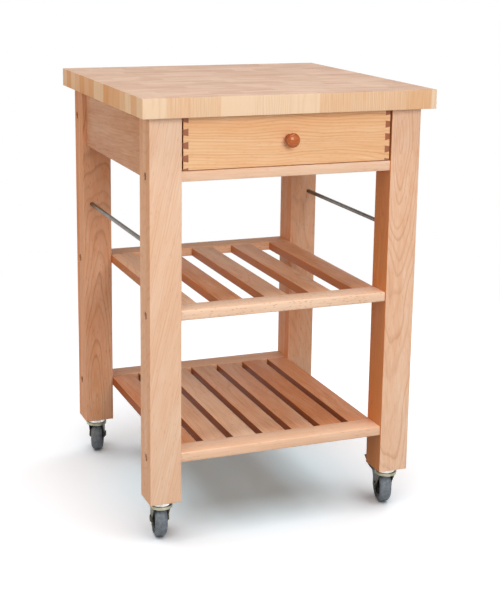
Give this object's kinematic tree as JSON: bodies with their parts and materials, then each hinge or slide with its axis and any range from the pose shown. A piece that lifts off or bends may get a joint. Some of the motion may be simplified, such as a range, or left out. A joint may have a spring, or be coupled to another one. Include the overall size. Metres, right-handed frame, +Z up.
{
  "type": "kitchen trolley",
  "caption": "Wheeled kitchen trolley with a thick end-grain wooden top, a drawer with finger joints, slatted shelves, side towel rails and swivel castors with brakes.",
  "frame": {"origin": "on the floor, under the middle of the worktop", "axes": "+Z up, front with the drawer towards -Y, +X to the right seen from the front"},
  "size_m": [0.61, 0.6158, 0.9],
  "materials": {
    "end_grain_beech": "oiled",
    "beech": "satin lacquer",
    "drawer_front_beech": "satin lacquer",
    "plywood": "raw",
    "knob_wood": "gloss varnish",
    "stainless_rod": "brushed",
    "zinc_steel": "zinc plated",
    "brass_insert": "plain",
    "washer_plastic": "plain",
    "hub_plastic": "plain",
    "tyre_rubber": "smooth",
    "pedal_plastic": "plain"
  },
  "bodies": {
    "frame": {"worktop": "end_grain_beech", "leg_front_left": "beech", "leg_front_right": "beech", "leg_rear_left": "beech", "leg_rear_right": "beech", "apron_left": "beech", "apron_right": "beech", "apron_back": "beech", "front_rail": "beech", "bearer_left": "beech", "bearer_right": "beech", "drawer_stops": "beech", "stop_cleat": "beech", "towel_rail_left": "stainless_rod", "towel_rail_right": "stainless_rod", "mid_shelf_front_board": "beech", "mid_shelf_back_board": "beech", "mid_shelf_slats": "beech", "low_shelf_front_board": "beech", "low_shelf_back_board": "beech", "low_shelf_slats": "beech", "frame_bolts": "zinc_steel", "barrel_nuts": "zinc_steel", "frame_dowels": "beech", "top_brackets": "zinc_steel", "bracket_screws": "zinc_steel", "case_screws": "zinc_steel", "leg_inserts": "brass_insert", "castor_stems": "zinc_steel", "thrust_washers": "washer_plastic"},
    "drawer": {"drawer_front": "drawer_front_beech", "drawer_side_left": "beech", "drawer_side_right": "beech", "drawer_back": "beech", "drawer_bottom": "plywood", "drawer_knob": "knob_wood", "knob_screw": "zinc_steel"},
    "castor_fl": {"fork_fl": "zinc_steel", "axle_fl": "zinc_steel"},
    "wheel_fl": {"hub_fl": "hub_plastic", "tyre_fl": "tyre_rubber"},
    "castor_fr": {"fork_fr": "zinc_steel", "axle_fr": "zinc_steel", "brake_pin_fr": "zinc_steel"},
    "wheel_fr": {"hub_fr": "hub_plastic", "tyre_fr": "tyre_rubber"},
    "brake_fr": {"brake_pedal_fr": "pedal_plastic"},
    "castor_rl": {"fork_rl": "zinc_steel", "axle_rl": "zinc_steel"},
    "wheel_rl": {"hub_rl": "hub_plastic", "tyre_rl": "tyre_rubber"},
    "castor_rr": {"fork_rr": "zinc_steel", "axle_rr": "zinc_steel", "brake_pin_rr": "zinc_steel"},
    "wheel_rr": {"hub_rr": "hub_plastic", "tyre_rr": "tyre_rubber"},
    "brake_rr": {"brake_pedal_rr": "pedal_plastic"}
  },
  "joints": [
    {"name": "drawer_slide", "type": "slide", "parent": "frame", "child": "drawer", "axis": [0, -1, 0], "range_m": [0, 0.3]},
    {"name": "castor_fl_swivel", "type": "hinge", "parent": "frame", "child": "castor_fl", "pos_m": [-0.2525, -0.248, 0.08], "axis": [0, 0, 1], "continuous": true},
    {"name": "wheel_fl_spin", "type": "hinge", "parent": "castor_fl", "child": "wheel_fl", "pos_m": [-0.24843, -0.22232, 0.0375], "axis": [0.9877, -0.1564, 0], "continuous": true},
    {"name": "castor_fr_swivel", "type": "hinge", "parent": "frame", "child": "castor_fr", "pos_m": [0.2525, -0.248, 0.08], "axis": [0, 0, 1], "continuous": true},
    {"name": "wheel_fr_spin", "type": "hinge", "parent": "castor_fr", "child": "wheel_fr", "pos_m": [0.25835, -0.22267, 0.0375], "axis": [0.9744, -0.225, 0], "continuous": true},
    {"name": "brake_fr_press", "type": "hinge", "parent": "castor_fr", "child": "brake_fr", "pos_m": [0.26375, -0.19928, 0.073], "axis": [-0.9744, 0.225, 0], "range_deg": [0, 12]},
    {"name": "castor_rl_swivel", "type": "hinge", "parent": "frame", "child": "castor_rl", "pos_m": [-0.2525, 0.248, 0.08], "axis": [0, 0, 1], "continuous": true},
    {"name": "wheel_rl_spin", "type": "hinge", "parent": "castor_rl", "child": "wheel_rl", "pos_m": [-0.24361, 0.27243, 0.0375], "axis": [0.9397, -0.342, 0], "continuous": true},
    {"name": "castor_rr_swivel", "type": "hinge", "parent": "frame", "child": "castor_rr", "pos_m": [0.2525, 0.248, 0.08], "axis": [0, 0, 1], "continuous": true},
    {"name": "wheel_rr_spin", "type": "hinge", "parent": "castor_rr", "child": "wheel_rr", "pos_m": [0.22954, 0.26021, 0.0375], "axis": [0.4695, 0.8829, 0], "continuous": true},
    {"name": "brake_rr_press", "type": "hinge", "parent": "castor_rr", "child": "brake_rr", "pos_m": [0.20835, 0.27147, 0.073], "axis": [-0.4695, -0.8829, 0], "range_deg": [0, 12]}
  ]
}
